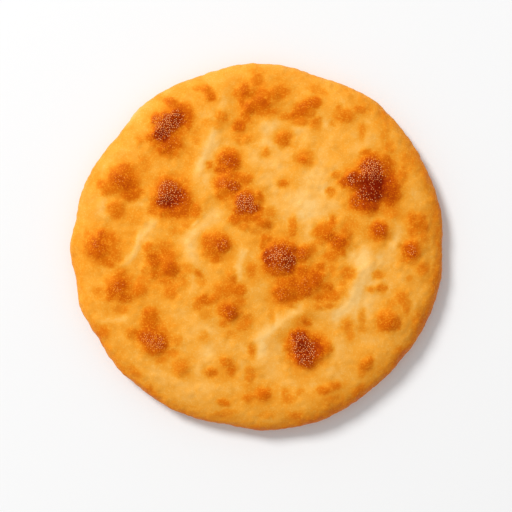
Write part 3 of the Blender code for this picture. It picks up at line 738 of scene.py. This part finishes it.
# %% The crust colour group
CRUST_RAMP = (
    (0.00, (0.985, 0.590, 0.190)),
    (0.10, (0.955, 0.480, 0.100)),
    (0.20, (0.915, 0.385, 0.042)),
    (0.30, (0.868, 0.305, 0.018)),
    (0.40, (0.805, 0.228, 0.009)),
    (0.50, (0.724, 0.163, 0.003)),
    (0.60, (0.622, 0.113, 0.002)),
    (0.70, (0.508, 0.072, 0.002)),
    (0.80, (0.405, 0.043, 0.002)),
    (0.90, (0.305, 0.021, 0.001)),
    (1.00, (0.205, 0.007, 0.001)),
)


def crust_colour_group():
    """The baked value goes in and the crust's colour comes out."""
    group, given, result = new_group("crust colour", [("Bake", "NodeSocketFloat")],
                                     [("Color", "NodeSocketColor")])
    ramp = group.nodes.new("ShaderNodeValToRGB")
    stops = ramp.color_ramp.elements
    while len(stops) < len(CRUST_RAMP):
        stops.new(0.5)
    for stop, (place, colour) in zip(stops, CRUST_RAMP):
        stop.position = place
        stop.color = (*colour, 1.0)
    group.links.new(given.outputs["Bake"], ramp.inputs["Fac"])
    group.links.new(ramp.outputs["Color"], result.inputs["Color"])
    return group


CRUST_COLOUR = crust_colour_group()
print("crust colour has", len(CRUST_RAMP), "stops")

# %% [markdown]
# The net's points lie almost a millimetre apart, so finer marks come from noise textures. A second
# group roughens the baked value: soft wisps everywhere, and pale flecks that are faint on gold
# dough and strong where the crust is brown and gritty. The flecks shift the value round their own
# mean, so they leave the average colour alone. The group also gives a height for the bump from the
# same noise, so that marks and relief meet, wide soft patches of painted shade that darken the dough
# a little at random, and a mask of the brown crust, which shines a little more.

# %% The grain's textures and strengths
# Each texture is (scale, detail, distortion).
# The first texture lays painted shade: wide soft patches that darken the dough a little at random.
PAINTED_SHADE_TEXTURE = (140.0, 4.0, 1.0)
PAINTED_SHADE_EDGES = (-0.18, 0.2)
WISP_TEXTURE = (330.0, 4.0, 0.7)
GRAIN_TEXTURE = (1250.0, 1.0, 0.0)
GRAIN_EDGES = (0.0, 0.2)
MEAN_GRAIN = 0.2
TOASTED_BAKE = (0.05, 0.5)
BROWN_BAKE = (0.32, 0.66)
WISP_REACH = (0.35, 1.0)
GRAIN_REACH = (0.10, 0.38)
BROWN_GRAIN_REACH = 0.8
LEAST_GRIT = 0.2
WISP_HEIGHT = 0.4
GRAIN_HEIGHT = 0.4
TEXTURES = (PAINTED_SHADE_TEXTURE, WISP_TEXTURE, GRAIN_TEXTURE)
print("the textures' lumps are about", [round(1.0 / scale / MM, 1) for scale, _, _ in TEXTURES], "mm long")


# %% The crust grain group
def noise_texture(tree, vector, scale, detail, distortion):
    """A noise texture's value, shifted so that its middle is 0."""
    node = tree.nodes.new("ShaderNodeTexNoise")
    node.inputs["Scale"].default_value = scale
    node.inputs["Detail"].default_value = detail
    node.inputs["Distortion"].default_value = distortion
    tree.links.new(vector, node.inputs["Vector"])
    return calc(tree, "SUBTRACT", node.outputs["Fac"], 0.5)


def crust_grain_group():
    """The baked value goes in and comes out grainy, with a shade, a height and a brown mask."""
    group, given, result = new_group(
        "crust grain",
        [("Bake", "NodeSocketFloat"), ("Gritty", "NodeSocketFloat"), ("Vector", "NodeSocketVector"),
         ("Wisps", "NodeSocketFloat"), ("Grain", "NodeSocketFloat"), ("Painted Shade", "NodeSocketFloat")],
        [("Bake", "NodeSocketFloat"), ("Shade", "NodeSocketFloat"), ("Height", "NodeSocketFloat"),
         ("Brown", "NodeSocketFloat")])
    bake = given.outputs["Bake"]
    vector = given.outputs["Vector"]
    toasted = eased(group, bake, *TOASTED_BAKE)
    brown = eased(group, bake, *BROWN_BAKE)
    gritty = between(group, given.outputs["Gritty"], LEAST_GRIT, 1.0)

    wisps = noise_texture(group, vector, *WISP_TEXTURE)
    wisp_reach = between(group, toasted, *WISP_REACH)
    wisp_shift = calc(group, "MULTIPLY", calc(group, "MULTIPLY", wisps, wisp_reach), given.outputs["Wisps"])

    grain = eased(group, noise_texture(group, vector, *GRAIN_TEXTURE), *GRAIN_EDGES)
    dough_reach = between(group, toasted, *GRAIN_REACH)
    brown_gritty = calc(group, "MULTIPLY", gritty, brown)
    grain_reach = calc(group, "MULTIPLY_ADD", brown_gritty, BROWN_GRAIN_REACH, dough_reach)
    fleck = calc(group, "MULTIPLY", calc(group, "SUBTRACT", MEAN_GRAIN, grain), grain_reach)
    grain_shift = calc(group, "MULTIPLY", fleck, given.outputs["Grain"])

    total = calc(group, "ADD", calc(group, "ADD", bake, wisp_shift), grain_shift)
    grain_height = calc(group, "MULTIPLY", calc(group, "MULTIPLY", grain, gritty), GRAIN_HEIGHT)
    height = calc(group, "ADD", calc(group, "MULTIPLY", wisps, WISP_HEIGHT), grain_height)
    # Painted shade, in wide soft patches laid at random.
    painted_shade_patches = eased(group, noise_texture(group, vector, *PAINTED_SHADE_TEXTURE), *PAINTED_SHADE_EDGES)
    shade = calc(group, "MULTIPLY_ADD", painted_shade_patches, given.outputs["Painted Shade"], 1.0)
    for name, socket in (("Bake", total), ("Shade", shade), ("Height", height), ("Brown", brown)):
        group.links.new(socket, result.inputs[name])
    return group


CRUST_GRAIN = crust_grain_group()
print("crust grain has", len(CRUST_GRAIN.nodes), "nodes")

# %% [markdown]
# The dough is nearly matt, with a thin film of frying oil that tints the light it throws back. The
# brown crust is smoother, so it shines a little more than the dough round it.


# %% Helpers for materials
def new_material(name):
    """A material, with the nodes and the links of its tree."""
    material = bpy.data.materials.new(name)
    material.use_nodes = True
    return material, material.node_tree.nodes, material.node_tree.links


def oil(shader, level, tint):
    """A thin shine of frying oil, given by its strength and its colour."""
    shader.inputs["Specular IOR Level"].default_value = level
    shader.inputs["Specular Tint"].default_value = (*tint, 1.0)


def attribute_value(nodes, name):
    """The socket of a value that is kept on the mesh."""
    node = nodes.new("ShaderNodeAttribute")
    node.attribute_name = name
    return node.outputs["Fac"]


def group_node(nodes, group):
    """A node that puts a finished group into a material."""
    node = nodes.new("ShaderNodeGroup")
    node.node_tree = group
    return node


# %% The skin's material
# The last value darkens the dough by up to 8 per cent in wide patches: painted shade.
SKIN_GRAIN = {"Wisps": 0.26, "Grain": 0.34, "Painted Shade": -0.08}
SKIN_OIL = (0.18, (1.0, 0.40, 0.06))
SKIN_ROUGHNESS = (0.52, 0.40)
BUMP_DISTANCE = 0.5 * MM
BUMP_STRENGTH = 0.45


def skin_material():
    """The crust's colour with its grain, a fine bump and a film of oil."""
    material, nodes, links = new_material("bhatura_skin")
    shader = nodes["Principled BSDF"]
    oil(shader, *SKIN_OIL)
    place = nodes.new("ShaderNodeTexCoord")
    grain = group_node(nodes, CRUST_GRAIN)
    for name, value in SKIN_GRAIN.items():
        grain.inputs[name].default_value = value
    links.new(attribute_value(nodes, "bake"), grain.inputs["Bake"])
    links.new(attribute_value(nodes, "gritty"), grain.inputs["Gritty"])
    links.new(place.outputs["Object"], grain.inputs["Vector"])
    colour = group_node(nodes, CRUST_COLOUR)
    links.new(grain.outputs["Bake"], colour.inputs["Bake"])
    shaded = nodes.new("ShaderNodeVectorMath")
    shaded.operation = "SCALE"
    links.new(colour.outputs["Color"], shaded.inputs["Vector"])
    links.new(grain.outputs["Shade"], shaded.inputs["Scale"])
    links.new(shaded.outputs["Vector"], shader.inputs["Base Color"])
    roughness = between(material.node_tree, grain.outputs["Brown"], *SKIN_ROUGHNESS)
    links.new(roughness, shader.inputs["Roughness"])
    bump = nodes.new("ShaderNodeBump")
    bump.inputs["Distance"].default_value = BUMP_DISTANCE
    bump.inputs["Strength"].default_value = BUMP_STRENGTH
    links.new(grain.outputs["Height"], bump.inputs["Height"])
    links.new(bump.outputs["Normal"], shader.inputs["Normal"])
    return material


skin.data.materials.clear()
skin.data.materials.append(skin_material())
print("the skin wears", skin.data.materials[0].name)

# %% [markdown]
# ## Burst bubbles
#
# Where the crust is brown, thousands of tiny bubbles burst and dried into gritty crumbs that catch
# the light. Their paleness is partly the colour of dried crust and partly painted highlight for the
# glints of oily grit. They are smaller than the net's faces, so they are a piece of their own. A bump
# texture could draw them too, but its dots glint alike and cast no shadows. Geometry Nodes strew
# flat, eight-sided grains over the gritty places, in two rounds: small dull ones close together,
# and larger pale ones farther apart, so that the pale dots never clump. Each grain is turned at
# random, so its facets glint in their own way, and it keeps the baked value under it and a tone of
# its own. A higher tone makes a grain larger and paler, with more painted highlight.

# %% The inputs for the crumbs
CRUMB_SEED = 7
CRUMB_INPUTS = (
    ("Density", "NodeSocketFloat", 2.4e7),
    ("Dull Spacing", "NodeSocketFloat", 0.29 * MM),
    ("Pale Spacing", "NodeSocketFloat", 0.9 * MM),
    ("Smallest", "NodeSocketFloat", 0.12 * MM),
    ("Largest", "NodeSocketFloat", 0.34 * MM),
    ("Flatness", "NodeSocketFloat", 0.32),
    ("Seed", "NodeSocketInt", CRUMB_SEED),
)
CRUMB_PATCH_SCALE = 300.0
CRUMB_PATCH_EDGES = (0.28, 0.48)
DULL_TONES = (0.0, 0.66)
PALE_TONES = (0.9, 1.0)
TONE_GROWTH = 3.0
GRAIN_SEGMENTS = 4
GRAIN_RINGS = 2
print("the crumbs have", len(CRUMB_INPUTS), "inputs")


# %% Strew points over the skin, each with a tone
def strewn_points(tree, given, share, spacing, seed):
    """The node that strews points over the skin, no two of them closer than the spacing."""
    strew = tree.nodes.new("GeometryNodeDistributePointsOnFaces")
    strew.distribute_method = "POISSON"
    tree.links.new(given.outputs["Skin"], strew.inputs["Mesh"])
    tree.links.new(given.outputs[spacing], strew.inputs["Distance Min"])
    tree.links.new(given.outputs["Density"], strew.inputs["Density Max"])
    tree.links.new(share, strew.inputs["Density Factor"])
    tree.links.new(seed, strew.inputs["Seed"])
    return strew


def toned_points(tree, points, tones, seed):
    """The points with a random tone kept on each, and the tone's own socket."""
    tone = tree.nodes.new("FunctionNodeRandomValue")
    tone.data_type = "FLOAT"
    # Inputs 2 and 3 and output 1 of this node are those for a plain number.
    tone.inputs[2].default_value, tone.inputs[3].default_value = tones
    tree.links.new(seed, tone.inputs["Seed"])
    keep = tree.nodes.new("GeometryNodeStoreNamedAttribute")
    keep.data_type = "FLOAT"
    keep.domain = "POINT"
    keep.inputs["Name"].default_value = "tone"
    tree.links.new(points, keep.inputs["Geometry"])
    tree.links.new(tone.outputs[1], keep.inputs["Value"])
    return keep.outputs["Geometry"], tone.outputs[1]


# %% Shape and turn a grain
def grain_size(tree, given, tone):
    """The grain's three half widths: as wide as its tone asks, and flat."""
    span = calc(tree, "SUBTRACT", given.outputs["Largest"], given.outputs["Smallest"])
    growth = calc(tree, "POWER", tone, TONE_GROWTH)
    size = calc(tree, "MULTIPLY_ADD", growth, span, given.outputs["Smallest"])
    shape = tree.nodes.new("ShaderNodeCombineXYZ")
    tree.links.new(size, shape.inputs["X"])
    tree.links.new(size, shape.inputs["Y"])
    tree.links.new(calc(tree, "MULTIPLY", size, given.outputs["Flatness"]), shape.inputs["Z"])
    return shape.outputs["Vector"]


def random_turn(tree, rotation):
    """The rotation that lays a grain on the skin, spun at random about the skin's normal."""
    spin = tree.nodes.new("FunctionNodeRandomValue")
    spin.data_type = "FLOAT_VECTOR"
    # Input 1 and output 0 are those for a vector: its highest value, and the result.
    spin.inputs[1].default_value = (0.0, 0.0, 2.0 * math.pi)
    turn = tree.nodes.new("FunctionNodeEulerToRotation")
    tree.links.new(spin.outputs[0], turn.inputs["Euler"])
    turned = tree.nodes.new("FunctionNodeRotateRotation")
    turned.rotation_space = "LOCAL"
    tree.links.new(rotation, turned.inputs["Rotation"])
    tree.links.new(turn.outputs["Rotation"], turned.inputs["Rotate By"])
    return turned.outputs["Rotation"]


# %% Strew one round of grains
def strewn_grains(tree, given, grain, share, spacing, tones, seed_step):
    """One round of grains, strewn evenly over the gritty places of the skin."""
    seed = calc(tree, "ADD", given.outputs["Seed"], seed_step)
    strew = strewn_points(tree, given, share, spacing, seed)
    points, tone = toned_points(tree, strew.outputs["Points"], tones, seed)
    put = tree.nodes.new("GeometryNodeInstanceOnPoints")
    tree.links.new(points, put.inputs["Points"])
    tree.links.new(grain, put.inputs["Instance"])
    tree.links.new(random_turn(tree, strew.outputs["Rotation"]), put.inputs["Rotation"])
    tree.links.new(grain_size(tree, given, tone), put.inputs["Scale"])
    return put.outputs["Instances"]


# %% The Geometry Nodes tree that strews the crumbs
def crumb_tree(material):
    """Two rounds of grains on the gritty places, with the inputs given above."""
    tree = bpy.data.node_groups.new("burst bubbles", "GeometryNodeTree")
    tree.interface.new_socket("Skin", in_out="INPUT", socket_type="NodeSocketGeometry")
    for name, kind, value in CRUMB_INPUTS:
        tree.interface.new_socket(name, in_out="INPUT", socket_type=kind).default_value = value
    tree.interface.new_socket("Crumbs", in_out="OUTPUT", socket_type="NodeSocketGeometry")
    nodes, links = tree.nodes, tree.links
    given = nodes.new("NodeGroupInput")
    result = nodes.new("NodeGroupOutput")

    gritty = nodes.new("GeometryNodeInputNamedAttribute")
    gritty.data_type = "FLOAT"
    gritty.inputs["Name"].default_value = "gritty"
    patches = nodes.new("ShaderNodeTexNoise")
    patches.inputs["Scale"].default_value = CRUMB_PATCH_SCALE
    patchy = eased(tree, patches.outputs["Fac"], *CRUMB_PATCH_EDGES)
    share = calc(tree, "MULTIPLY", gritty.outputs["Attribute"], patchy)

    grain = nodes.new("GeometryNodeMeshUVSphere")
    grain.inputs["Radius"].default_value = 1.0
    grain.inputs["Segments"].default_value = GRAIN_SEGMENTS
    grain.inputs["Rings"].default_value = GRAIN_RINGS
    both = nodes.new("GeometryNodeJoinGeometry")
    for spacing, tones, seed_step in (("Dull Spacing", DULL_TONES, 0), ("Pale Spacing", PALE_TONES, 1)):
        grains = strewn_grains(tree, given, grain.outputs["Mesh"], share, spacing, tones, seed_step)
        links.new(grains, both.inputs["Geometry"])

    real = nodes.new("GeometryNodeRealizeInstances")
    links.new(both.outputs["Geometry"], real.inputs["Geometry"])
    paint = nodes.new("GeometryNodeSetMaterial")
    paint.inputs["Material"].default_value = material
    links.new(real.outputs["Geometry"], paint.inputs["Geometry"])
    links.new(paint.outputs["Geometry"], result.inputs["Crumbs"])
    return tree


# %% [markdown]
# A dull crumb is the crust's colour, a little lighter with its tone. On brown crust the pale ones
# turn to a pale ash colour, partly dried crust and partly painted highlight for the glints of oily
# grit. Where the crust is nearly black they are charred, and only half as pale.

# %% The crumbs' material
CRUMB_OIL = (0.22, (1.0, 0.45, 0.10))
CRUMB_ROUGHNESS = 0.35
# Pale ash, partly dried crust and partly painted highlight for the glints of oily grit.
CRUMB_ASH_AND_HIGHLIGHT = (1.0, 0.47, 0.18)
TONE_LIGHTENING = 0.18
LEAST_CRUMB_BAKE = 0.25
ASH_AND_HIGHLIGHT_TONES = (0.66, 0.92)
ASH_AND_HIGHLIGHT_BAKE = (0.52, 0.80)
CHARRED_BAKE = (0.8, 1.0)
CHARRED_SHARE = 0.5


def crumb_material():
    """The crust's colour, which turns to pale ash and painted highlight where a pale grain lies on brown
    crust.
    """
    material, nodes, links = new_material("bhatura_crumbs")
    tree = material.node_tree
    shader = nodes["Principled BSDF"]
    oil(shader, *CRUMB_OIL)
    shader.inputs["Roughness"].default_value = CRUMB_ROUGHNESS
    tone = attribute_value(nodes, "tone")
    bake = attribute_value(nodes, "bake")
    lighter = calc(tree, "SUBTRACT", bake, calc(tree, "MULTIPLY", tone, TONE_LIGHTENING))
    colour = group_node(nodes, CRUST_COLOUR)
    links.new(calc(tree, "MAXIMUM", lighter, LEAST_CRUMB_BAKE), colour.inputs["Bake"])
    mix = nodes.new("ShaderNodeMix")
    mix.data_type = "RGBA"
    mix.inputs["B"].default_value = (*CRUMB_ASH_AND_HIGHLIGHT, 1.0)
    ash_and_highlight = calc(tree, "MULTIPLY", eased(tree, tone, *ASH_AND_HIGHLIGHT_TONES), eased(tree, bake, *ASH_AND_HIGHLIGHT_BAKE))
    charred = between(tree, eased(tree, bake, *CHARRED_BAKE), 1.0, CHARRED_SHARE)
    links.new(calc(tree, "MULTIPLY", ash_and_highlight, charred), mix.inputs["Factor"])
    links.new(colour.outputs["Color"], mix.inputs["A"])
    links.new(mix.outputs["Result"], shader.inputs["Base Color"])
    return material


# %% Strew the crumbs and make them a plain mesh
def nodes_piece(name, source, tree, values):
    """A new piece made by a Geometry Nodes tree from the source's mesh."""
    piece = bpy.data.objects.new(name, source.data.copy())
    bpy.context.scene.collection.objects.link(piece)
    modifier = piece.modifiers.new(tree.name, "NODES")
    modifier.node_group = tree
    for item in tree.interface.items_tree:
        if item.in_out == "INPUT" and item.name in values:
            modifier[item.identifier] = values[item.name]
    return bake_modifiers(piece)


crumbs = nodes_piece("bhatura_crumbs", skin, crumb_tree(crumb_material()), {"Seed": CRUMB_SEED})
print("crumbs:", len(crumbs.data.polygons), "faces")

# %% [markdown]
# ## The studio
#
# A plain pale floor, a soft main light from the upper left, an even white sky that fills the
# shadows, and a camera straight above. Nothing here has a colour of its own, so the crust's colours
# show as they are.

# %% The floor
FLOOR_REACH = 3.0
FLOOR_GREY = 0.9
FLOOR_ROUGHNESS = 0.9

floor_mesh = bpy.data.meshes.new("floor")
work = bmesh.new()
bmesh.ops.create_grid(work, x_segments=1, y_segments=1, size=FLOOR_REACH)
work.to_mesh(floor_mesh)
work.free()
floor = bpy.data.objects.new("floor", floor_mesh)
bpy.context.scene.collection.objects.link(floor)
floor_material, floor_nodes, _ = new_material("studio_floor")
floor_shader = floor_nodes["Principled BSDF"]
floor_shader.inputs["Base Color"].default_value = (FLOOR_GREY, FLOOR_GREY, FLOOR_GREY, 1.0)
floor_shader.inputs["Roughness"].default_value = FLOOR_ROUGHNESS
floor_mesh.materials.append(floor_material)
print("the floor is", 2.0 * FLOOR_REACH, "m wide")

# %% The light and the sky
LIGHT_PLACE = (-2.2, 2.3, 2.9)
LIGHT_SIZE = 1.4
LIGHT_POWER = 150.0
SKY_STRENGTH = 0.52


def soft_light(name, place, size, power):
    """A round area light that looks at the bread."""
    light = bpy.data.lights.new(name, "AREA")
    light.shape = "DISK"
    light.size = size
    light.energy = power
    lamp = bpy.data.objects.new(name, light)
    bpy.context.scene.collection.objects.link(lamp)
    lamp.location = place
    lamp.rotation_euler = (-Vector(place)).to_track_quat("-Z", "Y").to_euler()


soft_light("main_light", LIGHT_PLACE, LIGHT_SIZE, LIGHT_POWER)
world = bpy.data.worlds.new("studio")
world.use_nodes = True
sky = world.node_tree.nodes["Background"]
sky.inputs["Color"].default_value = (1.0, 1.0, 1.0, 1.0)
sky.inputs["Strength"].default_value = SKY_STRENGTH
bpy.context.scene.world = world
bpy.context.scene.view_settings.view_transform = "Standard"
print("the main light is", round(Vector(LIGHT_PLACE).length, 1), "m away")

# %% The camera
RIM_LEVEL = 7.0 * MM
VIEW_WIDTH = 274.0 * MM
VIEW_SHIFT = -4.8 * MM
LENS = 85.0
SENSOR = 36.0

camera_data = bpy.data.cameras.new("camera")
camera_data.lens = LENS
camera_data.sensor_width = SENSOR
camera = bpy.data.objects.new("camera", camera_data)
bpy.context.scene.collection.objects.link(camera)
camera.location = (0.0, VIEW_SHIFT, RIM_LEVEL + VIEW_WIDTH * LENS / SENSOR)
bpy.context.scene.camera = camera
print("the camera is", round(camera.location.z / MM), "mm up")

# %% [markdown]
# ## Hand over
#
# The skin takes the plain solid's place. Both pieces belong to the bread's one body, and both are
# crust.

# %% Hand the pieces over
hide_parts(BREAD)
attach(skin, "root")
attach(crumbs, "root")
